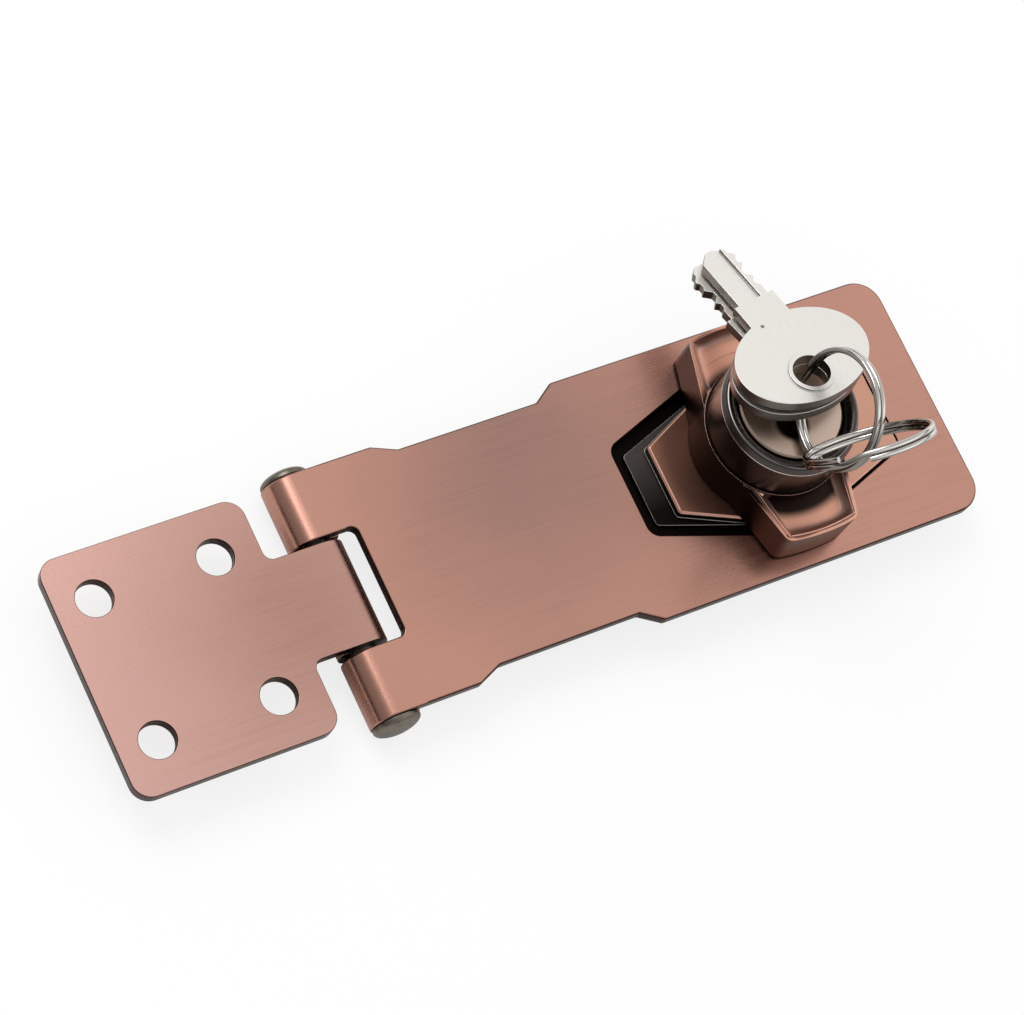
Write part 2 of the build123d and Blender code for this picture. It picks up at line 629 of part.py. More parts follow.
# Locking bolt: a flat slide, notched at the side for the plug's tail pin
notch_half = TAIL_PIN_RADIUS + TAIL_CLEARANCE
bolt_corner = math.sqrt(bolt_tip**2 - BOLT_WIDTH**2 / 4)
with BuildPart() as locking_bolt:
    with BuildSketch(Plane.XY.offset(bolt_bottom)):
        with BuildLine():
            tip_arc = ThreePointArc(
                (bolt_corner, -BOLT_WIDTH / 2), (bolt_tip, 0), (bolt_corner, BOLT_WIDTH / 2)
            )
            Polyline(
                tip_arc @ 1,
                (-BOLT_INNER_END, BOLT_WIDTH / 2),
                (-BOLT_INNER_END, -BOLT_WIDTH / 2),
                tip_arc @ 0,
            )
        make_face()
        Polygon(
            (tail_x - notch_half, -BOLT_WIDTH),
            (tail_x + notch_half, -BOLT_WIDTH),
            (tail_x + notch_half, tail_y + notch_half),
            (tail_x - notch_half, tail_y + notch_half),
            align=None,
            mode=Mode.SUBTRACT,
        )
    extrude(amount=BOLT_THICKNESS)
write_part(locking_bolt.part, "locking_bolt")

# Circlip: holds the knob's hub in the base from behind
with BuildPart() as hub_circlip:
    with BuildSketch(Plane.XY.offset(circlip_bottom)):
        ring_sector(circlip_groove_radius + FIT, HUB_RADIUS + CIRCLIP_PROUD, CLIP_OPENING, -135)
    extrude(amount=CIRCLIP_THICKNESS - AXIAL_PLAY)
write_part(hub_circlip.part, "hub_circlip")

# Keys: a pair lies on the collar, tipped towards the blades and held up by its far edge
tilt = math.radians(KEY_TILT)
heading = math.radians(KEY_HEADING)
key_across = Vector(math.sin(heading), -math.cos(heading), 0)
key_along = Vector(
    math.cos(heading) * math.cos(tilt), math.sin(heading) * math.cos(tilt), -math.sin(tilt)
)
hole_to_rim = (COLLAR_RADIUS - COLLAR_RIM_BEVEL) - (
    KEY_HOLE_X * math.cos(heading) + KEY_HOLE_Y * math.sin(heading)
)
hole_height = collar_top + hole_to_rim * math.tan(tilt) + KEY_GAP
rest_plane = Plane(
    origin=(KEY_HOLE_X, KEY_HOLE_Y, hole_height),
    x_dir=key_across,
    z_dir=key_across.cross(key_along),
)


def make_key(plane, cut_side):
    """A flat stamped key: oval bow with a rimmed hole, neck, and a grooved blade.

    The blade is cut on cut_side, +1 or -1 across the key.
    """
    half_blade = KEY_BLADE_WIDTH / 2
    with BuildPart() as key:
        with BuildSketch(plane):
            with Locations((0, KEY_BOW_CENTRE)):
                Ellipse(KEY_BOW_WIDTH / 2, KEY_BOW_LENGTH / 2)
            Polygon(
                (-KEY_NECK_WIDTH / 2, 0),
                (KEY_NECK_WIDTH / 2, 0),
                (KEY_NECK_WIDTH / 2, KEY_NECK_END),
                (half_blade, KEY_NECK_END),
                (half_blade, KEY_TIP - KEY_TIP_BEVEL),
                (half_blade - KEY_TIP_BEVEL, KEY_TIP),
                (KEY_TIP_BEVEL - half_blade, KEY_TIP),
                (-half_blade, KEY_TIP - KEY_TIP_BEVEL),
                (-half_blade, KEY_NECK_END),
                (-KEY_NECK_WIDTH / 2, KEY_NECK_END),
                align=None,
            )
        extrude(amount=KEY_THICKNESS)
        with BuildSketch(plane):
            for wafer, depth in enumerate(KEY_CUT_DEPTHS):
                cut_middle = KEY_NECK_END + FIRST_WAFER_BELOW_FACE + wafer * WAFER_PITCH
                Polygon(
                    (cut_side * (half_blade - depth), cut_middle - KEY_CUT_FLAT / 2),
                    (cut_side * (half_blade + depth), cut_middle - KEY_CUT_FLAT / 2 - 2 * depth),
                    (cut_side * (half_blade + depth), cut_middle + KEY_CUT_FLAT / 2 + 2 * depth),
                    (cut_side * (half_blade - depth), cut_middle + KEY_CUT_FLAT / 2),
                    align=None,
                )
        extrude(amount=KEY_THICKNESS, mode=Mode.SUBTRACT)
        with BuildSketch(plane.offset(KEY_THICKNESS)):
            with Locations((-KEY_HOLE_ASIDE, -KEY_HOLE_BACK)):
                Circle(KEY_HOLE_DIAMETER / 2 + KEY_HOLE_RIM)
        extrude(amount=KEY_HOLE_RIM_HEIGHT)
        with BuildSketch(plane):
            with Locations((-KEY_HOLE_ASIDE, -KEY_HOLE_BACK)):
                Circle(KEY_HOLE_DIAMETER / 2)
        extrude(amount=2 * KEY_THICKNESS, mode=Mode.SUBTRACT)
        with BuildSketch(plane.offset(KEY_THICKNESS - KEY_GROOVE_DEPTH)):
            with Locations((KEY_GROOVE_OFFSET, KEY_TIP)):
                Rectangle(KEY_GROOVE_WIDTH, 2 * (KEY_TIP - KEY_NECK_END))
        extrude(amount=KEY_THICKNESS, mode=Mode.SUBTRACT)
    return key.part


under_key = make_key(rest_plane.rotated((0, 0, KEY_SPREAD)), -1)
write_part(under_key, "under_key")
top_key = make_key(rest_plane.offset(KEY_THICKNESS + KEY_HOLE_RIM_HEIGHT + KEY_GAP), 1)
write_part(top_key, "top_key")

# Rings: one holds both keys and the other is linked to it, each two close turns of wire


def make_ring(centre, facing, radius):
    """A split ring as one band, two wires deep, round centre and square to facing."""
    middle = rest_plane.from_local_coords(Vector(centre))
    outward = rest_plane.from_local_coords(Vector(facing)) - rest_plane.origin
    with BuildPart() as ring:
        with BuildSketch(Plane(origin=middle, z_dir=outward)):
            RegularPolygon(radius + RING_WIRE / 2, RING_SIDES)
            RegularPolygon(
                radius - RING_WIRE / 2, RING_SIDES, major_radius=False, mode=Mode.SUBTRACT
            )
        extrude(amount=RING_WIRE, both=True)
    return ring.part


key_ring = make_ring(KEY_RING_CENTRE, KEY_RING_FACING, KEY_RING_RADIUS)
write_part(key_ring, "key_ring")
link_ring = make_ring(LINK_RING_CENTRE, LINK_RING_FACING, LINK_RING_RADIUS)
write_part(link_ring, "link_ring")
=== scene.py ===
import json
import math

import bmesh
import bpy
import numpy as np
from mathutils import Matrix, Vector

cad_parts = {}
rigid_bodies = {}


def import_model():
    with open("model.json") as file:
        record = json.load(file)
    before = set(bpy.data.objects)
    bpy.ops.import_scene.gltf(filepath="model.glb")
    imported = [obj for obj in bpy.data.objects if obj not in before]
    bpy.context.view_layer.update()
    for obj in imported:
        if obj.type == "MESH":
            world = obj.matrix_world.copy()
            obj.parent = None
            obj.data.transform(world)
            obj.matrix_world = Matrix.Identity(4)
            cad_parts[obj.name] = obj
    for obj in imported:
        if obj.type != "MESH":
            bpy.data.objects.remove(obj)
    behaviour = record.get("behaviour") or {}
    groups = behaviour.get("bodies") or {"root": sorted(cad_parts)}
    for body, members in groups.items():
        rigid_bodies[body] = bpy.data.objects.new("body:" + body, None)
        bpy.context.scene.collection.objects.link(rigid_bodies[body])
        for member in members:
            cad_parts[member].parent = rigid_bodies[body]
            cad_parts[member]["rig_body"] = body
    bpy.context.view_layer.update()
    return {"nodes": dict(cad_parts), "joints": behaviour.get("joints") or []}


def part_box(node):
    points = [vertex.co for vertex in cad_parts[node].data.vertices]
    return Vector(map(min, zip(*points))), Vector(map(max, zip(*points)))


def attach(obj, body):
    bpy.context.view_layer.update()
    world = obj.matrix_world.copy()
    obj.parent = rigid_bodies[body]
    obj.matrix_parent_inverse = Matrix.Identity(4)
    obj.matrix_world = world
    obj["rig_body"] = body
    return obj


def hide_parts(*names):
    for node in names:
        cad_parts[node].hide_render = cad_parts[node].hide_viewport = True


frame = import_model()


# Helpers for objects and for the nodes of materials.
GROOVE_DEPTH = 0.00002


def linear(hex_colour):
    """An sRGB hex colour as linear red, green, blue and an alpha of one."""
    parts = [int(hex_colour[i : i + 2], 16) / 255 for i in (1, 3, 5)]
    return [p / 12.92 if p <= 0.04045 else ((p + 0.055) / 1.055) ** 2.4 for p in parts] + [1.0]


def add_object(name, data):
    """A new object in the scene's own collection."""
    made = bpy.data.objects.new(name, data)
    bpy.context.scene.collection.objects.link(made)
    return made


def repaint(thing, material):
    """Gives an object one material in place of those it has."""
    thing.data.materials.clear()
    thing.data.materials.append(material)


def add_node(tree, kind, inputs=None, **settings):
    """Adds one node. An input takes a value, or another node's output to link from."""
    node = tree.nodes.new(kind)
    for name, value in settings.items():
        setattr(node, name, value)
    for name, value in (inputs or {}).items():
        if isinstance(value, bpy.types.NodeSocket):
            tree.links.new(value, node.inputs[name])
        else:
            node.inputs[name].default_value = value
    return node


def new_material(name):
    """An empty node material and its tree."""
    material = bpy.data.materials.new(name)
    material.use_nodes = True
    material.node_tree.nodes.clear()
    return material, material.node_tree


def split(tree, vector):
    """The outputs X, Y and Z that a vector is split into."""
    return add_node(tree, "ShaderNodeSeparateXYZ", {"Vector": vector}).outputs


def flattened(tree, position):
    """A vector of a position's X and Y alone."""
    inputs = {"X": position["X"], "Y": position["Y"]}
    return add_node(tree, "ShaderNodeCombineXYZ", inputs).outputs[0]


def calculated(tree, operation, *terms):
    """The result of one arithmetic node."""
    return add_node(tree, "ShaderNodeMath", dict(enumerate(terms)), operation=operation).outputs[0]


def distance(tree, vector, point):
    """How far a vector lies from a point."""
    inputs = {0: vector, 1: point}
    return add_node(tree, "ShaderNodeVectorMath", inputs, operation="DISTANCE").outputs["Value"]


def map_range(tree, value, start, end, low=0.0, high=1.0, smooth=False):
    """A value carried from the range start to end over to the range low to high."""
    carried = add_node(
        tree,
        "ShaderNodeMapRange",
        {"Value": value, "From Min": start, "From Max": end, "To Min": low, "To Max": high},
        interpolation_type="SMOOTHSTEP" if smooth else "LINEAR",
    )
    return carried.outputs[0]


def spread(tree, share, low, high):
    """A share from nought to one carried over to the range low to high."""
    return map_range(tree, share, 0.0, 1.0, low, high)


def share_between(tree, value, low, low_full, high_full, high):
    """A share that is one from low_full to high_full and falls to zero outside."""
    rise = map_range(tree, value, low, low_full)
    fall = map_range(tree, value, high, high_full)
    return calculated(tree, "MULTIPLY", rise, fall)


def mixed(tree, share, first, second):
    """A colour from first to second. Each is a hex colour or another node's output."""
    ends = [linear(end) if isinstance(end, str) else end for end in (first, second)]
    inputs = {"Factor": share, "A": ends[0], "B": ends[1]}
    return add_node(tree, "ShaderNodeMix", inputs, data_type="RGBA").outputs[2]


def mixed_shader(tree, share, first, second):
    """A shader node between two others."""
    inputs = {0: share, 1: first.outputs[0], 2: second.outputs[0]}
    return add_node(tree, "ShaderNodeMixShader", inputs)


def noise(tree, vector, scale, detail, roughness=0.5):
    """A noise over a vector."""
    inputs = {"Vector": vector, "Scale": scale, "Detail": detail, "Roughness": roughness}
    return add_node(tree, "ShaderNodeTexNoise", inputs).outputs["Fac"]


def stretched(tree, vector, scale):
    """A vector scaled along each axis, so that a noise over it runs in streaks."""
    return add_node(tree, "ShaderNodeMapping", {"Vector": vector, "Scale": scale}).outputs[0]


def finish_metal(tree, colour, roughness, height=None, strength=0.0):
    """Ends a material as bare metal, with fine grooves where a height is given."""
    inputs = {"Base Color": colour, "Metallic": 1.0, "Roughness": roughness}
    if height is not None:
        relief = {"Height": height, "Strength": strength, "Distance": GROOVE_DEPTH}
        inputs["Normal"] = add_node(tree, "ShaderNodeBump", relief).outputs[0]
    shader = add_node(tree, "ShaderNodeBsdfPrincipled", inputs)
    add_node(tree, "ShaderNodeOutputMaterial", {"Surface": shader.outputs[0]})


# The camera. The photographer stood over half a metre off with a long lens, on the leaf's
# side of the hasp, and held the camera turned so that the strap climbs to the right.
CAMERA_PLACE = Vector((-0.2766, -0.1363, 0.5072))
CAMERA_LOOKS_AT = Vector((-0.0420, 0.0038, 0.0080))
CAMERA_ROLL = math.radians(36.6)
SENSOR_WIDTH = 36.0
LENS = 133.6
NEAREST_SEEN = 0.01
FARTHEST_SEEN = 10

camera_data = bpy.data.cameras.new("photo_camera")
camera_data.sensor_width = SENSOR_WIDTH
camera_data.lens = LENS
camera_data.clip_start = NEAREST_SEEN
camera_data.clip_end = FARTHEST_SEEN
camera = add_object("photo_camera", camera_data)
looking = (CAMERA_LOOKS_AT - CAMERA_PLACE).to_track_quat("-Z", "Y").to_matrix().to_4x4()
rolled = looking @ Matrix.Rotation(CAMERA_ROLL, 4, "Z")
camera.matrix_world = Matrix.Translation(CAMERA_PLACE) @ rolled
bpy.context.scene.camera = camera
bpy.context.scene.view_settings.view_transform = "Standard"


# The studio. A white tent lights the hasp from all round, dimmer on the leaf's side and in
# a gap at table height, which gives walls and wire their dark lines. A soft box hangs over
# the far left, so that shadows fall soft to the lower right, and the table is white.
TABLE_SIZE = 3.0
TABLE_LIFT = 0.8
TENT_STRENGTH = 0.9
TENT_DIM_SIDE = 0.42
TENT_BRIGHT_SIDE = 1.18
TENT_DIM_X = -0.7
TENT_BRIGHT_X = 0.5
GAP_STRENGTH = 0.16
GAP_TOP = 0.34
SOFT_BOX_SIZE = 0.6
SOFT_BOX_POWER = 4.0
SOFT_BOX_PLACE = Vector((-0.2, 0.55, 0.75))
LOCK_PLACE = Vector((0.0, 0.0, 0.01))
LIGHT_WHITE = "#FFFFFF"
TABLE_WHITE = "#FBFBFB"

world = bpy.data.worlds.new("white_tent")
bpy.context.scene.world = world
world.use_nodes = True
tree = world.node_tree
tree.nodes.clear()
tent_path = add_node(tree, "ShaderNodeLightPath")
tent_way = split(tree, add_node(tree, "ShaderNodeTexCoord").outputs["Generated"])
tent_level = map_range(
    tree, tent_way["Z"], 0.0, GAP_TOP, GAP_STRENGTH, TENT_STRENGTH, smooth=True
)
tent_side = map_range(
    tree, tent_way["X"], TENT_DIM_X, TENT_BRIGHT_X, TENT_DIM_SIDE, TENT_BRIGHT_SIDE
)
tent_light = add_node(
    tree,
    "ShaderNodeBackground",
    {
        "Color": linear(LIGHT_WHITE),
        "Strength": calculated(tree, "MULTIPLY", tent_level, tent_side),
    },
)
tent_seen = add_node(
    tree, "ShaderNodeBackground", {"Color": linear(LIGHT_WHITE), "Strength": 1.0}
)
tent = mixed_shader(tree, tent_path.outputs["Is Camera Ray"], tent_light, tent_seen)
add_node(tree, "ShaderNodeOutputWorld", {"Surface": tent.outputs[0]})

soft_box_data = bpy.data.lights.new("soft_box", "AREA")
soft_box_data.shape = "SQUARE"
soft_box_data.size = SOFT_BOX_SIZE
soft_box_data.energy = SOFT_BOX_POWER
soft_box = add_object("soft_box", soft_box_data)
soft_box.location = SOFT_BOX_PLACE
soft_box.rotation_mode = "QUATERNION"
soft_box.rotation_quaternion = (LOCK_PLACE - SOFT_BOX_PLACE).to_track_quat("-Z", "Y")

table_mesh = bpy.data.meshes.new("table_top")
half_table = TABLE_SIZE / 2
table_mesh.from_pydata(
    [
        (-half_table, -half_table, 0),
        (half_table, -half_table, 0),
        (half_table, half_table, 0),
        (-half_table, half_table, 0),
    ],
    [],
    [(0, 1, 2, 3)],
)
table_top = add_object("table_top", table_mesh)
white_table, tree = new_material("white_table")
table_path = add_node(tree, "ShaderNodeLightPath")
table_paint = add_node(tree, "ShaderNodeBsdfDiffuse", {"Color": linear(TABLE_WHITE)})
table_glow = add_node(
    tree, "ShaderNodeEmission", {"Color": linear(LIGHT_WHITE), "Strength": 1.0}
)
table_lit = mixed_shader(tree, TABLE_LIFT, table_paint, table_glow)
table_mix = mixed_shader(tree, table_path.outputs["Is Camera Ray"], table_paint, table_lit)
add_node(tree, "ShaderNodeOutputMaterial", {"Surface": table_mix.outputs[0]})
table_mesh.materials.append(white_table)


# Strap: 2 mm steel sheet, blanked, rolled round the pin at its knuckles and copper plated.
# Its faces are brushed along its length, then blackened and rubbed back, so that they shine
# pink-brown while the cut edges keep the dark brown.
SHEET_EDGE_WIDTH = 0.0003
MERGE_DISTANCE = 2e-6
FLAT_ANGLE = math.radians(0.4)
SHARP_ANGLE = math.radians(24)
BEVEL_ANGLE = math.radians(30)
STREAK_LENGTH = 0.016
STREAK_WIDTH = 0.00032
STREAK_RANGE = (0.38, 0.68)
STREAK_TONES = (0.22, 0.67)
CLOUD_SIZE = 0.022
CLOUD_RANGE = (0.3, 0.7)
CLOUD_TONES = (0.1, 0.5)
DARKEST_PAINTED_SHADE = 0.7
PALE_DISTANCE = 0.042
KNUCKLE_REACH = 0.0043
PLATE_EDGE_FACING = (0.97, 0.75)
ROLL_EDGE_FACING = (0.5, 0.85)
SHEET_ROUGHNESS = (0.20, 0.34)
SHEET_GROOVES = 0.1
CUT_EDGE_BROWN = "#3A2620"
# The strap's painted shade is darkest at this point, left of the lock.
STRAP_PAINTED_SHADE_PLACE = Vector((-0.036, 0.010, 0.008))
STREAK_ROUGHNESS = 0.65
STREAK_DETAIL = 4.0
CASTING_DETAIL = 3.0
FAINT_DETAIL = 2.0
hinge_x = frame["joints"][0]["pos_m"][0]


def wear_edges(piece, edge_width, segments):
    """Shades a piece smooth and bevels every edge that turns by more than 30 degrees."""
    mesh = piece.data
    bevel = piece.modifiers.new("worn_edges", "BEVEL")
    bevel.width = edge_width
    bevel.segments = segments
    bevel.limit_method = "ANGLE"
    bevel.angle_limit = BEVEL_ANGLE
    flat_faces = piece.modifiers.new("flat_faces", "WEIGHTED_NORMAL")
    flat_faces.keep_sharp = True
    mesh.polygons.foreach_set("use_smooth", np.ones(len(mesh.polygons), bool))
    mesh.set_sharp_from_angle(angle=SHARP_ANGLE)


def softened_copy(node_name, edge_width, segments=2):
    """A copy of a CAD piece with its sharp edges rounded over, in the piece's place.

    The copy's loose triangles are merged and flat ones joined before its edges are rounded.
    """
    source = frame["nodes"][node_name]
    mesh = source.data.copy()
    mesh.name = node_name + "_softened"
    mesh.materials.clear()
    shape = bmesh.new()
    shape.from_mesh(mesh)
    bmesh.ops.remove_doubles(shape, verts=shape.verts, dist=MERGE_DISTANCE)
    bmesh.ops.dissolve_limit(
        shape, angle_limit=FLAT_ANGLE, verts=shape.verts, edges=shape.edges
    )
    shape.to_mesh(mesh)
    shape.free()
    piece = add_object(node_name + "_softened", mesh)
    wear_edges(piece, edge_width, segments)
    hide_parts(node_name)
    body = source["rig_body"]
    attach(piece, body)
    return piece


def grid_mesh(name, points, wrap_rows=False):
    """A mesh of quads over a grid of points.

    wrap_rows joins each row's end to its start and closes the tube's two ends.
    """
    rows, columns = points.shape[:2]
    index = np.arange(rows * columns).reshape(rows, columns)
    if wrap_rows:
        index = np.concatenate([index, index[:, :1]], axis=1)
    quads = np.stack([index[:-1, :-1], index[:-1, 1:], index[1:, 1:], index[1:, :-1]], axis=-1)
    mesh = bpy.data.meshes.new(name)
    mesh.from_pydata(points.reshape(-1, 3), [], quads.reshape(-1, 4))
    if wrap_rows:
        shape = bmesh.new()
        shape.from_mesh(mesh)
        bmesh.ops.holes_fill(shape, edges=[edge for edge in shape.edges if edge.is_boundary])
        bmesh.ops.recalc_face_normals(shape, faces=shape.faces)
        shape.to_mesh(mesh)
        shape.free()
    mesh.polygons.foreach_set("use_smooth", np.ones(len(mesh.polygons), bool))
    return mesh


def brushed_copper(name, face, streak, cut_edge, painted_shade_place):
    """Antique brushed copper: blackened copper plate rubbed back along the sheet's length.

    The eye sees fine lengthwise streaks, slow cloudy changes of tone, and dark cut edges.
    Painted shade makes the plate darkest at one given point and paler away from it.
    """
    material, tree = new_material(name)
    place = add_node(tree, "ShaderNodeTexCoord")
    position = split(tree, place.outputs["Object"])
    facing = split(tree, place.outputs["Normal"])
    along = stretched(
        tree, place.outputs["Object"], (1 / STREAK_LENGTH, 1 / STREAK_WIDTH, 1 / STREAK_LENGTH)
    )
    streaks = noise(tree, along, 1.0, STREAK_DETAIL, STREAK_ROUGHNESS)
    clouds = noise(tree, place.outputs["Object"], 1 / CLOUD_SIZE, FAINT_DETAIL)
    streak_share = map_range(tree, streaks, *STREAK_RANGE, *STREAK_TONES)
    cloud_share = map_range(tree, clouds, *CLOUD_RANGE, *CLOUD_TONES)
    tone = calculated(tree, "MULTIPLY", streak_share, cloud_share)
    # Painted shade: the tone darkens towards the given point.
    from_painted_shade = distance(tree, place.outputs["Object"], painted_shade_place)
    painted_shade = map_range(
        tree, from_painted_shade, 0.0, PALE_DISTANCE, DARKEST_PAINTED_SHADE, 0.0, smooth=True
    )
    darker = add_node(tree, "ShaderNodeMath", {0: tone, 1: painted_shade}, use_clamp=True)
    face_colour = mixed(tree, darker.outputs[0], face, streak)
    upright = calculated(tree, "ABSOLUTE", facing["Z"])
    sideways = calculated(tree, "ABSOLUTE", facing["Y"])
    from_pin = calculated(tree, "SUBTRACT", position["X"], hinge_x)
    near_pin = calculated(tree, "ABSOLUTE", from_pin)
    edge_share = add_node(
        tree,
        "ShaderNodeMix",
        {
            "Factor": calculated(tree, "LESS_THAN", near_pin, KNUCKLE_REACH),
            "A": map_range(tree, upright, *PLATE_EDGE_FACING),
            "B": map_range(tree, sideways, *ROLL_EDGE_FACING),
        },
        data_type="FLOAT",
    )
    colour = mixed(tree, edge_share.outputs[0], face_colour, cut_edge)
    roughness = spread(tree, streaks, *SHEET_ROUGHNESS)
    finish_metal(tree, colour, roughness, streaks, SHEET_GROOVES)
    return material


strap = softened_copy("hasp_strap", SHEET_EDGE_WIDTH)
strap.data.materials.append(
    brushed_copper(
        "brushed_copper_strap",
        "#C08E7D",
        "#94736B",
        CUT_EDGE_BROWN,
        STRAP_PAINTED_SHADE_PLACE,
    )
)


# Leaf: cut and rolled from the same sheet as the strap, with four screw holes. Its colours
# are painted a little paler than the strap's, as painted light.
# The leaf's painted shade is darkest at this point, by the knuckles.
LEAF_PAINTED_SHADE_PLACE = Vector((-0.077, 0.0, 0.008))

leaf = softened_copy("hinge_leaf", SHEET_EDGE_WIDTH)
leaf.data.materials.append(
    brushed_copper(
        "brushed_copper_leaf",
        "#D1A69C",
        "#A67D70",
        CUT_EDGE_BROWN,
        LEAF_PAINTED_SHADE_PLACE,
    )
)


# Hinge pin: mild steel wire, plated with the rest, its ends peened into low domes that
# have gone dark. It is turned as one profile of radii and places along the wire.
PIN_RADIUS = 0.00195
PIN_HEAD_RADIUS = 0.0038
PIN_HEAD_HEIGHT = 0.0018
PIN_HEAD_RIM = 0.0004
PIN_EDGE = 0.00015
PIN_CROWN_START = 0.02
PIN_CROWN_STEPS = 16
PIN_TURN_STEPS = 64
CREASE_ANGLE = math.radians(40)
MOTTLE_SCALE = 900.0
PIN_ROUGHNESS = (0.25, 0.4)


def dark_plating(name, colour, sheen, roughness):
    """Blackened copper plate that was not rubbed back: dark brown, with a faint mottle."""
    material, tree = new_material(name)
    place = add_node(tree, "ShaderNodeTexCoord")
    mottle = noise(tree, place.outputs["Object"], MOTTLE_SCALE, CASTING_DETAIL)
    finish_metal(tree, mixed(tree, mottle, colour, sheen), spread(tree, mottle, *roughness))
    return material


pin_low, pin_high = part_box("hinge_pin")
pin_middle = (pin_low + pin_high) / 2
pin_reach = pin_high.y - pin_middle.y
pin_foot = pin_reach - PIN_HEAD_HEIGHT
crown = np.linspace(PIN_CROWN_START, math.pi / 2, PIN_CROWN_STEPS)
head_radii = [*(PIN_HEAD_RADIUS * np.sin(crown)), PIN_HEAD_RADIUS, PIN_HEAD_RADIUS - PIN_EDGE]
head_places = [
    *(pin_reach - (PIN_HEAD_HEIGHT - PIN_HEAD_RIM) * (1 - np.cos(crown))),
    pin_foot + PIN_EDGE,
    pin_foot,
]
pin_radii = np.array(head_radii + [PIN_RADIUS, PIN_RADIUS] + head_radii[::-1])[:, None]
pin_places = head_places + [pin_foot, -pin_foot] + [-place for place in head_places[::-1]]
pin_turn = np.linspace(0, 2 * math.pi, PIN_TURN_STEPS, endpoint=False)[None, :]
pin_points = np.stack(
    [
        pin_middle.x + pin_radii * np.cos(pin_turn),
        pin_middle.y + np.array(pin_places)[:, None] + 0 * pin_turn,
        pin_middle.z + pin_radii * np.sin(pin_turn),
    ],
    axis=-1,
)
pin_mesh = grid_mesh("domed_hinge_pin", pin_points, wrap_rows=True)
pin_mesh.set_sharp_from_angle(angle=CREASE_ANGLE)
pin = add_object("domed_hinge_pin", pin_mesh)
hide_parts("hinge_pin")
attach(pin, frame["nodes"]["hinge_pin"]["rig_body"])
pin_mesh.materials.append(dark_plating("dark_pin_plating", "#574F47", "#877F74", PIN_ROUGHNESS))


# Base: a zinc casting, copper plated and blackened. Only the top of its boss was rubbed back.
# Painted shade darkens that top towards the knob and deepens the black of the recess under
# the strap. The dark walls are painted lighter on the far side as painted reflection, and
# the ledge's edge carries a painted highlight.
BASE_EDGE_WIDTH = 0.00018
base_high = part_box("lock_base")[1]
LEDGE_HEIGHT = base_high.z - 0.0014
RUBBED_DEPTH = 0.0004
# Inside this radius the boss top carries painted shade; beyond the next it is plain rubbed copper.
BOSS_DARK_RADIUS = 0.0145
BOSS_BRIGHT_RADIUS = 0.0200
CASTING_HALF_WIDTH = 0.02
TOP_FACING = (0.25, 0.75)
RIM_FACING = (0.35, 0.5, 0.9, 0.96)
TOP_FADE = 0.0002
RECESS_FADE = 0.0003
CASTING_ROUGHNESS = (0.32, 0.48)
CASTING_GROOVES = 0.05


def cast_copper(name, recess_height, rubbed_from, radii, colours, shade_centre_y=0.0):
    """Antique copper on a casting: rubbed bright on tops and rims, black in the recesses.

    Faces that look up, above the height rubbed_from, run from the colour shade within the
    first of the radii to the colour bright beyond the second, measured from a point a given y
    off the lock's axis; the change is painted shade cast by the knob. Edges between a top and a
    wall are rubbed to the colour rim, which also serves as their painted highlight. Walls and
    lower faces keep the dark finish, painted lighter on one side and darker on the other as
    painted reflection, changing from one colour of walls to the next at the given y. Below
    recess_height they have the colour recess, and the rim of a ledge between the two heights
    shows as a painted highlight line in its own colour.
    """
    material, tree = new_material(name)
    place = add_node(tree, "ShaderNodeTexCoord")
    facing = split(tree, place.outputs["Normal"])
    position = split(tree, place.outputs["Object"])
    from_axis = distance(tree, flattened(tree, position), (0.0, shade_centre_y, 0.0))
    brushing = stretched(
        tree, place.outputs["Object"], (1 / STREAK_LENGTH, 1 / STREAK_WIDTH, 1 / STREAK_WIDTH)
    )
    streaks = noise(tree, brushing, 1.0, CASTING_DETAIL)
    # Painted shade: tops darken towards the knob, inside the first radius.
    out_of_painted_shade = map_range(tree, from_axis, *radii, smooth=True)
    rubbed = mixed(tree, out_of_painted_shade, colours["shade"], colours["bright"])
    looks_up = map_range(tree, facing["Z"], *TOP_FACING)
    high_enough = map_range(tree, position["Z"], rubbed_from - TOP_FADE, rubbed_from)
    out_of_recess = map_range(tree, position["Z"], recess_height - RECESS_FADE, recess_height)
    on_edge = share_between(tree, facing["Z"], *RIM_FACING)
    # The walls' colour ramp across the casting is painted light and shade that changes by side.
    across = map_range(tree, position["Y"], -CASTING_HALF_WIDTH, CASTING_HALF_WIDTH)
    wall = add_node(tree, "ShaderNodeValToRGB", {"Fac": across})
    for stop, (wall_y, wall_colour) in enumerate(colours["walls"]):
        ramp = wall.color_ramp.elements
        mark = ramp[stop] if stop < 2 else ramp.new(1.0)
        mark.position = 0.5 + wall_y / (2 * CASTING_HALF_WIDTH)
        mark.color = linear(wall_colour)
    colour = mixed(tree, out_of_recess, colours["recess"], wall.outputs["Color"])
    # Painted highlight along the edge of a ledge.
    ledge_highlight_share = calculated(tree, "MULTIPLY", on_edge, out_of_recess)
    colour = mixed(tree, ledge_highlight_share, colour, colours["ledge_highlight"])
    rubbed_share = calculated(tree, "MULTIPLY", looks_up, high_enough)
    colour = mixed(tree, rubbed_share, colour, rubbed)
    rim_share = calculated(tree, "MULTIPLY", on_edge, high_enough)
    colour = mixed(tree, rim_share, colour, colours["rim"])
    roughness = spread(tree, streaks, *CASTING_ROUGHNESS)
    finish_metal(tree, colour, roughness, streaks, CASTING_GROOVES)
    return material


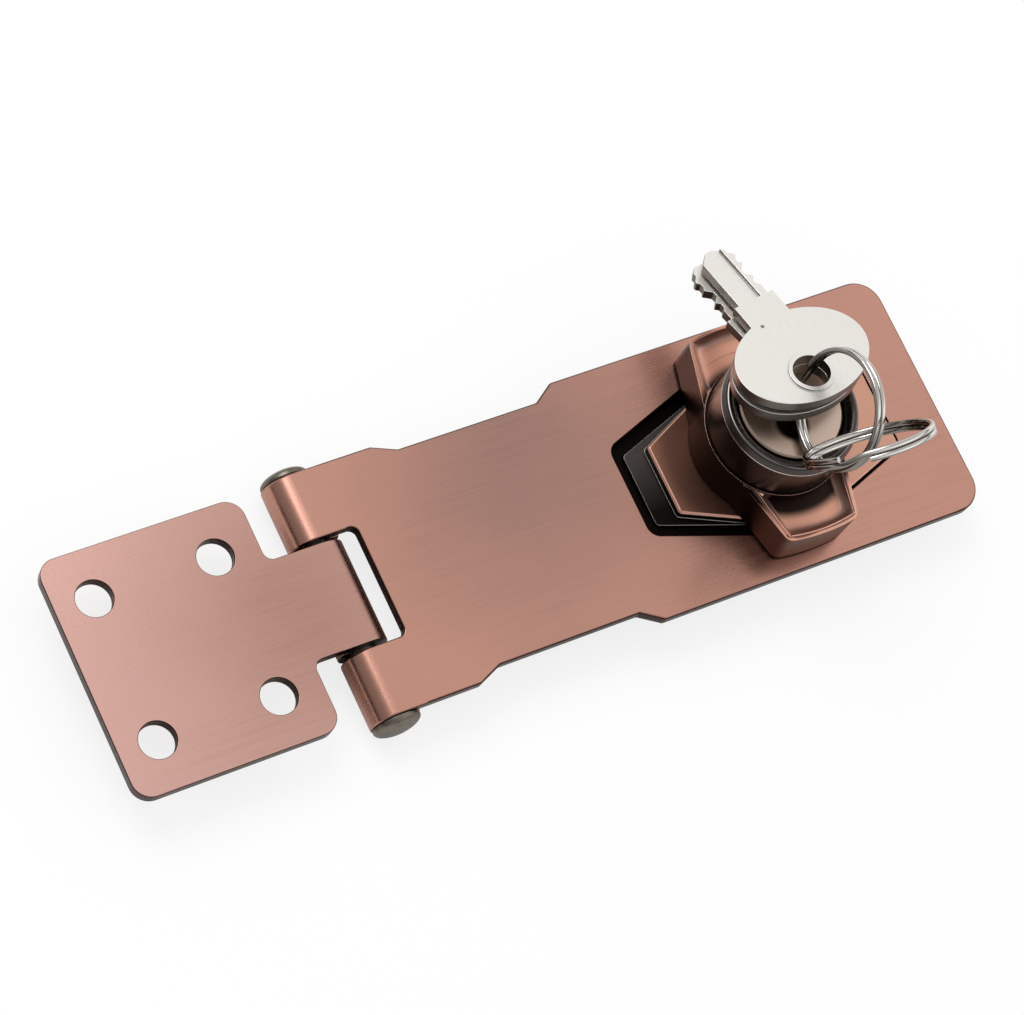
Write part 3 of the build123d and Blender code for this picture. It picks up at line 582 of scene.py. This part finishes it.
base = softened_copy("lock_base", BASE_EDGE_WIDTH)
base.data.materials.append(
    cast_copper(
        "blackened_base_casting",
        LEDGE_HEIGHT,
        base_high.z - RUBBED_DEPTH,
        (BOSS_DARK_RADIUS, BOSS_BRIGHT_RADIUS),
        {
            # Near black: the blackened finish with painted shadow of the gap under the strap.
            "recess": "#120E0C",
            # Painted highlight along the ledge's edge.
            "ledge_highlight": "#C9C4BF",
            # Painted reflection: darker walls on the near side, lighter on the far side.
            "walls": ((-0.004, "#1C1815"), (0.005, "#59534F")),
            # Painted shade on the boss top by the knob, paling to the rubbed copper of the far
            # corners.
            "shade": "#6E4D41",
            "bright": "#AE7E6C",
            "rim": "#D6A593",
        },
    )
)


# Shoulder: towards the strap's free end the casting stands up over its ledge and fills the
# slot to a hair's breadth, so that only a thin dark line is left there.
SHOULDER_REACH = 0.02265
SHOULDER_HALF = 0.0073
SHOULDER_SLOPE = 0.335
SHOULDER_START = 0.004
SHOULDER_FOOT = base_high.z - 0.0013
SHOULDER_TOP = base_high.z + 0.00004
SHOULDER_EDGE_WIDTH = 0.0003
# Inside this radius the shoulder's top carries painted shade by the knob.
SHOULDER_DARK_RADIUS = 0.0100
SHOULDER_BRIGHT_RADIUS = 0.0160

middle_half = SHOULDER_HALF + (SHOULDER_REACH - SHOULDER_START) * SHOULDER_SLOPE
shoulder_outline = [
    (SHOULDER_START, -middle_half),
    (SHOULDER_REACH, -SHOULDER_HALF),
    (SHOULDER_REACH, SHOULDER_HALF),
    (SHOULDER_START, middle_half),
]
shoulder_mesh = bpy.data.meshes.new("base_shoulder")
shoulder_mesh.from_pydata(
    [(x, y, z) for z in (SHOULDER_FOOT, SHOULDER_TOP) for x, y in shoulder_outline],
    [],
    [(3, 2, 1, 0), (4, 5, 6, 7), (0, 1, 5, 4), (1, 2, 6, 5), (2, 3, 7, 6), (3, 0, 4, 7)],
)
shoulder = add_object("base_shoulder", shoulder_mesh)
wear_edges(shoulder, SHOULDER_EDGE_WIDTH, 3)
shoulder_mesh.materials.append(
    cast_copper(
        "rubbed_base_shoulder",
        LEDGE_HEIGHT,
        SHOULDER_TOP - RUBBED_DEPTH,
        (SHOULDER_DARK_RADIUS, SHOULDER_BRIGHT_RADIUS),
        {
            "recess": "#120E0C",
            "ledge_highlight": "#2A2421",
            "walls": ((-0.01, "#2A2421"), (0.01, "#2A2421")),
            # Painted shade on the top near the knob.
            "shade": "#6A4A40",
            "bright": "#C4947F",
            "rim": "#E2B6A5",
        },
    )
)
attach(shoulder, "base")


# Knob: a second casting, with two wings whose tops are dished. The dishes and rims are
# rubbed bright, and the walls and the drum stay dark. Painted shade darkens the dishes' inner
# ends by the drum, and the walls are painted lighter on the near side and darker on the far
# side.
KNOB_EDGE_WIDTH = 0.00028
knob_low, knob_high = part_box("turn_knob")
WING_TOP = knob_high.z - 0.0005
SCOOP_FLOOR = WING_TOP - 0.0026
SCOOP_MARGIN = 0.0003
# Painted shade of the drum on the dishes' inner ends, inside this radius, centred a little to the
# near side.
KNOB_DARK_RADIUS = 0.0121
KNOB_BRIGHT_RADIUS = 0.0139
KNOB_SHADE_CENTRE_Y = -0.0009
knob = softened_copy("turn_knob", KNOB_EDGE_WIDTH, 3)
knob.data.materials.append(
    cast_copper(
        "rubbed_knob_casting",
        knob_low.z,
        SCOOP_FLOOR - SCOOP_MARGIN,
        (KNOB_DARK_RADIUS, KNOB_BRIGHT_RADIUS),
        {
            "recess": "#33221D",
            "ledge_highlight": "#33221D",
            # Painted light and shade: lighter walls on the near side, darker on the far side.
            "walls": (
                (-0.014, "#64493E"),
                (-0.010, "#33221D"),
                (0.009, "#33221D"),
                (0.013, "#1E0E0A"),
            ),
            "shade": "#2C221E",
            "bright": "#DEA58E",
            "rim": "#E2B6A6",
        },
        KNOB_SHADE_CENTRE_Y,
    )
)


# Dishes: the hollows in the wings' tops are cast in one with the knob. Their floors sweep
# up to thin rims in one curve and run out into the drum's foot.
DISH_INNER_RADIUS = 0.01135
DISH_ROOT_HALF = 0.0076
DISH_ROOT_REACH = 0.0085
DISH_TIP_HALF = 0.0059
DISH_TIP_REACH = 0.01755
DISH_TIP_BULGE = 0.0006
DISH_DEPTH = 0.0017
DISH_LIP = 0.00004
DISH_STEP = 0.00002
DISH_SHELL = 0.0003
DISH_OVERLAP = 0.0004
DISH_LID = 0.001
DISH_POINTS_ACROSS = 65
DISH_POINTS_OUTWARDS = 41
DISH_ROUNDS = 8
DISH_POWER_ACROSS = 8
DISH_POWER_OUTWARDS = 9


def dish_surface(side, inner_radius, sunk):
    """Points of one wing's dish, on a grid of u across and v outwards.

    x = u * half(y), where half narrows in a straight line to the tip. y runs at each x from
    the circle of inner_radius to the bulged tip, tip(x) = reach - bulge * (x / tip half)^2.
    x and y need each other, so a few rounds bring them together. The depth is
    D * (1 - |u|^8) * (1 - v^9).
    """
    quarter_turn = math.pi / 2
    u, v = np.meshgrid(
        np.sin(np.linspace(-1, 1, DISH_POINTS_ACROSS) * quarter_turn),
        np.sin(np.linspace(0, 1, DISH_POINTS_OUTWARDS) * quarter_turn),
    )
    narrowing = (DISH_ROOT_HALF - DISH_TIP_HALF) / (DISH_TIP_REACH - DISH_ROOT_REACH)
    y = np.full_like(u, (inner_radius + DISH_TIP_REACH) / 2)
    for _ in range(DISH_ROUNDS):
        x = u * (DISH_ROOT_HALF - narrowing * (y - DISH_ROOT_REACH))
        inner = np.sqrt(inner_radius**2 - x**2)
        tip = DISH_TIP_REACH - DISH_TIP_BULGE * (x / DISH_TIP_HALF) ** 2
        y = inner + v * (tip - inner)
    depth = DISH_DEPTH * (1 - np.abs(u) ** DISH_POWER_ACROSS) * (1 - v**DISH_POWER_OUTWARDS)
    z = WING_TOP - DISH_LIP - sunk - depth
    return np.stack([side * x, side * y, z], axis=-1)


def dish_cutter(name, side):
    """The space above a dish, closed by a flat lid one millimetre over the wing."""
    mesh = grid_mesh(name, dish_surface(side, DISH_INNER_RADIUS, 0.0))
    shape = bmesh.new()
    shape.from_mesh(mesh)
    lifted = bmesh.ops.extrude_face_region(shape, geom=list(shape.faces))
    for corner in lifted["geom"]:
        if isinstance(corner, bmesh.types.BMVert):
            corner.co.z = WING_TOP + DISH_LID
    bmesh.ops.recalc_face_normals(shape, faces=shape.faces)
    shape.to_mesh(mesh)
    shape.free()
    return mesh


knob_shape = bmesh.new()
for dish_name, dish_side in (("near_dish", -1), ("far_dish", 1)):
    knob_shape.from_mesh(dish_cutter(dish_name + "_space", dish_side))
    surface = dish_surface(dish_side, DISH_INNER_RADIUS - DISH_OVERLAP, DISH_STEP)
    dish = add_object(dish_name, grid_mesh(dish_name, surface))
    shell_wall = dish.modifiers.new("cast_wall", "SOLIDIFY")
    shell_wall.thickness = DISH_SHELL
    shell_wall.offset = -dish_side
    dish.data.materials.append(knob.data.materials[0])
    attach(dish, "knob")
spaces_mesh = bpy.data.meshes.new("dish_spaces")
knob_shape.to_mesh(spaces_mesh)
knob_shape.free()
dish_spaces = add_object("dish_spaces", spaces_mesh)
carving = knob.modifiers.new("carved_dishes", "BOOLEAN")
carving.object = dish_spaces
carving.operation = "DIFFERENCE"
carving.solver = "EXACT"
bpy.context.view_layer.update()
finished_knob = knob.evaluated_get(bpy.context.evaluated_depsgraph_get())
carved = bpy.data.meshes.new_from_object(finished_knob)
knob.modifiers.clear()
knob.data = carved
bpy.data.objects.remove(dish_spaces)


# Collar: turned brass under black chrome, polished, so it mirrors the tent as grey bands.
# Its rim has a long steep chamfer, with a painted highlight line at the chamfer's foot.
COLLAR_EDGE_WIDTH = 0.0003
COLLAR_RADIUS = 0.0110
CHAMFER_DROP = 0.0009
CHAMFER_FOOT = 0.0014
HIGHLIGHT_LINE_HALF = 0.00012
WALL_TOLERANCE = 0.0001
COLLAR_RIM_FACING = (0.84, 0.88, 0.93, 0.96)
COLLAR_WALL_FACING = 0.6
SMEAR_SCALE = 300.0
GLOSS_SPREAD = 0.3
COLLAR_ROUGHNESS = 0.26
SHELL_ROUGHNESS = 0.35
collar_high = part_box("lock_collar")[1]


def black_chrome(name, colour, edge, line, line_height, roughness):
    """Black chrome over polished metal: near black, glossy, with clear pale highlights.

    The sharp edges carry a painted highlight of the colour edge, and the wall carries a
    painted highlight line of the colour line round it at line_height.
    """
    material, tree = new_material(name)
    place = add_node(tree, "ShaderNodeTexCoord")
    position = split(tree, place.outputs["Object"])
    facing = split(tree, place.outputs["Normal"])
    smears = noise(tree, place.outputs["Object"], SMEAR_SCALE, FAINT_DETAIL)
    glossiest = roughness * (1 - GLOSS_SPREAD)
    dullest = roughness * (1 + GLOSS_SPREAD)
    gloss = spread(tree, smears, glossiest, dullest)
    on_rim = share_between(tree, facing["Z"], *COLLAR_RIM_FACING)
    # Painted highlight on the rim's edges.
    worn_and_highlighted = mixed(tree, on_rim, colour, edge)
    # Painted highlight line round the wall.
    line_places = [line_height + share * HIGHLIGHT_LINE_HALF for share in (-1, -0.5, 0.5, 1)]
    on_line = share_between(tree, position["Z"], *line_places)
    on_wall = calculated(tree, "LESS_THAN", facing["Z"], COLLAR_WALL_FACING)
    line_share = calculated(tree, "MULTIPLY", on_line, on_wall)
    finish_metal(tree, mixed(tree, line_share, worn_and_highlighted, line), gloss)
    return material


collar = softened_copy("lock_collar", COLLAR_EDGE_WIDTH, 3)
for corner in collar.data.vertices:
    at_wall = math.hypot(corner.co.x, corner.co.y) > COLLAR_RADIUS - WALL_TOLERANCE
    if at_wall and corner.co.z > collar_high.z - CHAMFER_DROP:
        corner.co.z -= CHAMFER_DROP
collar.data.materials.append(
    black_chrome(
        "polished_black_chrome",
        "#474240",
        # Painted highlight on the rim's edges.
        "#8C8581",
        # Painted highlight line round the wall.
        "#C9C2BD",
        collar_high.z - CHAMFER_FOOT,
        COLLAR_ROUGHNESS,
    )
)
repaint(
    frame["nodes"]["cylinder_shell"],
    black_chrome("shadowed_shell", "#1A1614", "#1A1614", "#1A1614", 0.0, SHELL_ROUGHNESS),
)


# Plug: turned brass, plated a pale warm grey, with a fine turned grain on its face. Below
# the face it is painted black as shade, so that the keyway falls away into the dark.
PLUG_EDGE_WIDTH = 0.00015
plug_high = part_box("key_plug")[1]
FACE_FADE_START = 0.0008
FACE_FADE_END = 0.0002
FACE_ROUGHNESS = (0.28, 0.4)
TURNING_PITCH = 0.00022
TURNING_GROOVES = 0.12
# Painted shadow of the keys on the face: black round this point, clear beyond the next radius.
KEY_SHADOW_PLACE = (-0.0012, -0.0024, 0.0)
KEY_SHADOW_BLACK_RADIUS = 0.0022
KEY_SHADOW_CLEAR_RADIUS = 0.0033


def turned_face(name, face, keyway_shade, face_height):
    """Plated brass turned on a lathe: rings on the face, painted shade below its edge.

    Painted shade blackens the face beside the keyway, where the keys' shadow and dark
    reflection fall.
    """
    material, tree = new_material(name)
    place = add_node(tree, "ShaderNodeTexCoord")
    position = split(tree, place.outputs["Object"])
    flat_place = flattened(tree, position)
    from_axis = add_node(tree, "ShaderNodeVectorMath", {0: flat_place}, operation="LENGTH")
    ring_place = add_node(tree, "ShaderNodeCombineXYZ", {"X": from_axis.outputs["Value"]})
    rings = noise(tree, ring_place.outputs[0], 1 / TURNING_PITCH, FAINT_DETAIL)
    # Painted shadow of the keys beside the keyway.
    from_key_shadow = distance(tree, flat_place, KEY_SHADOW_PLACE)
    out_of_key_shadow = map_range(tree, from_key_shadow, KEY_SHADOW_BLACK_RADIUS, KEY_SHADOW_CLEAR_RADIUS, smooth=True)
    at_face = map_range(
        tree, position["Z"], face_height - FACE_FADE_START, face_height - FACE_FADE_END
    )
    unshaded_face_share = calculated(tree, "MULTIPLY", at_face, out_of_key_shadow)
    roughness = spread(tree, rings, *FACE_ROUGHNESS)
    colour = mixed(tree, unshaded_face_share, keyway_shade, face)
    finish_metal(tree, colour, roughness, rings, TURNING_GROOVES)
    return material


plug = softened_copy("key_plug", PLUG_EDGE_WIDTH)
# The black is painted shade, below the face and beside the keyway.
plug.data.materials.append(turned_face("turned_plug_face", "#C3AE9F", "#15110F", plug_high.z))


# Keys: stamped from 1.7 mm sheet and nickel plated. The plating is satin, near white under
# the tent, with fine scratches along the key.
KEY_EDGE_WIDTH = 0.00022
KEY_ROUGHNESS = (0.26, 0.4)
SCRATCH_SCALE = (2500.0, 120.0, 2500.0)
SHADED_WALL_FACING = (0.62, 0.45)
HIGHLIGHT_RIM_FACING = (0.68, 0.76, 0.9, 0.95)
DIMPLE_PLACE = (-0.00067, 0.01217, 0.02754)
DIMPLE_RADIUS = 0.0004


def satin_nickel(name, colour, worn_and_highlighted, wall, rim, roughness):
    """Satin nickel plate, or another plain metal with faint scratches.

    Walls that stand upright are painted the duller colour wall as shade. The edge between
    carries a painted highlight of the colour rim. The top key's neck has one small punched
    dimple, whose shade is painted as a dark dot. No other piece reaches the dot's place.
    """
    material, tree = new_material(name)
    place = add_node(tree, "ShaderNodeTexCoord")
    facing = split(tree, place.outputs["Normal"])
    scratches = stretched(tree, place.outputs["Object"], SCRATCH_SCALE)
    wear = noise(tree, scratches, 1.0, STREAK_DETAIL)
    upright = calculated(tree, "ABSOLUTE", facing["Z"])
    # Painted shade on upright walls, and a painted highlight on the edges between.
    on_wall = map_range(tree, upright, *SHADED_WALL_FACING)
    on_rim = share_between(tree, upright, *HIGHLIGHT_RIM_FACING)
    from_dimple = distance(tree, place.outputs["Object"], DIMPLE_PLACE)
    in_dimple = map_range(tree, from_dimple, DIMPLE_RADIUS, DIMPLE_RADIUS / 2)
    colour = mixed(tree, wear, colour, worn_and_highlighted)
    colour = mixed(tree, on_wall, colour, wall)
    colour = mixed(tree, on_rim, colour, rim)
    colour = mixed(tree, in_dimple, colour, wall)
    finish_metal(tree, colour, spread(tree, wear, *roughness))
    return material


# Painted shade on the keys' upright walls, and a white painted highlight along their edges.
key_nickel = satin_nickel(
    "satin_nickel_plate", "#E6E3DE", "#D8D4CE", "#756D66", "#FFFFFF", KEY_ROUGHNESS
)
for key_name in ("top_key", "under_key"):
    key = softened_copy(key_name, KEY_EDGE_WIDTH)
    key.data.materials.append(key_nickel)


# Rings: two split rings of spring wire, nickel plated and bright. One holds the keys, the
# other is linked to it. Each is two close turns, and the wire crosses over once.
RING_WIRE = 0.0009
RING_SEAM_HALF = math.radians(14)
RING_STEPS = 289
WIRE_STEPS = 20
WIRE_FILL = 0.49
WIRE_SQUARENESS = 0.75
RING_ROUGHNESS = (0.08, 0.18)
RING_SEAMS = {"key_ring": 2.6, "link_ring": 3.9}


def split_ring(node_name, seam_angle):
    """Two close turns of wire in the place of a CAD ring, as one closed mesh.

    Along the wire the angle t runs from one seam to the other, almost two turns. The wire's
    middle is centre + radius * (across * cos t + along * sin t) + facing * rise, and rise
    goes from minus half a wire to plus half a wire by a smooth step about the crossing. The
    section is a rounded square, |cos s| ^ q by |sin s| ^ q, where q is WIRE_SQUARENESS.
    """
    source = frame["nodes"][node_name].data
    corners = np.empty(len(source.vertices) * 3)
    source.vertices.foreach_get("co", corners)
    corners = np.unique(corners.reshape(-1, 3).round(7), axis=0)
    centre = corners.mean(axis=0)
    facing = np.linalg.svd(corners - centre)[2][2]
    facing = facing * np.sign(facing.sum())
    across = np.cross(facing, (0, 0, 1))
    across = across / np.linalg.norm(across)
    along = np.cross(facing, across)
    radius = np.linalg.norm(corners - centre, axis=1).max() - RING_WIRE / 2
    t = np.linspace(RING_SEAM_HALF, 4 * math.pi - RING_SEAM_HALF, RING_STEPS)[:, None]
    s = np.linspace(0, 2 * math.pi, WIRE_STEPS, endpoint=False)[None, :]
    step = np.clip((t - 2 * math.pi) / (2 * RING_SEAM_HALF) + 0.5, 0, 1)
    rise = RING_WIRE * (step * step * (3 - 2 * step) - 0.5)
    half = RING_WIRE * WIRE_FILL
    out = half * np.sign(np.cos(s)) * np.abs(np.cos(s)) ** WIRE_SQUARENESS
    up = half * np.sign(np.sin(s)) * np.abs(np.sin(s)) ** WIRE_SQUARENESS
    turned = (t + seam_angle)[..., None]
    outwards = np.cos(turned) * across + np.sin(turned) * along
    points = centre + (radius + out)[..., None] * outwards + (rise + up)[..., None] * facing
    mesh = grid_mesh(node_name + "_wire", points, wrap_rows=True)
    mesh.set_sharp_from_angle(angle=CREASE_ANGLE)
    ring = add_object(node_name + "_wire", mesh)
    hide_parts(node_name)
    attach(ring, "knob")
    return ring


# Painted shade on the wire's sides, and a pale painted highlight along its edges.
bright_nickel = satin_nickel(
    "bright_nickel_wire", "#B4AEA8", "#9E9892", "#7E7872", "#E6E2DD", RING_ROUGHNESS
)
for ring_name, seam_angle in RING_SEAMS.items():
    split_ring(ring_name, seam_angle).data.materials.append(bright_nickel)


# Inside the lock: brass wafers on steel springs, the plug's clip, the hub's circlip and
# the steel bolt. They show only through the keyway and from behind.
INNER_ROUGHNESS = (0.25, 0.4)
STEEL_NODES = ("wafer_spring", "plug_clip", "hub_circlip", "locking_bolt")
# The upright walls of the inner parts are painted in the duller colour as shade.
inner_brass = satin_nickel(
    "plain_brass_strip", "#C8A964", "#A8884A", "#A8884A", "#C8A964", INNER_ROUGHNESS
)
bright_steel = satin_nickel(
    "bright_spring_steel", "#B9BABB", "#8F9092", "#8F9092", "#B9BABB", INNER_ROUGHNESS
)
for node_name, node_object in frame["nodes"].items():
    if node_name.startswith(STEEL_NODES):
        repaint(node_object, bright_steel)
    elif node_name.startswith("wafer"):
        repaint(node_object, inner_brass)
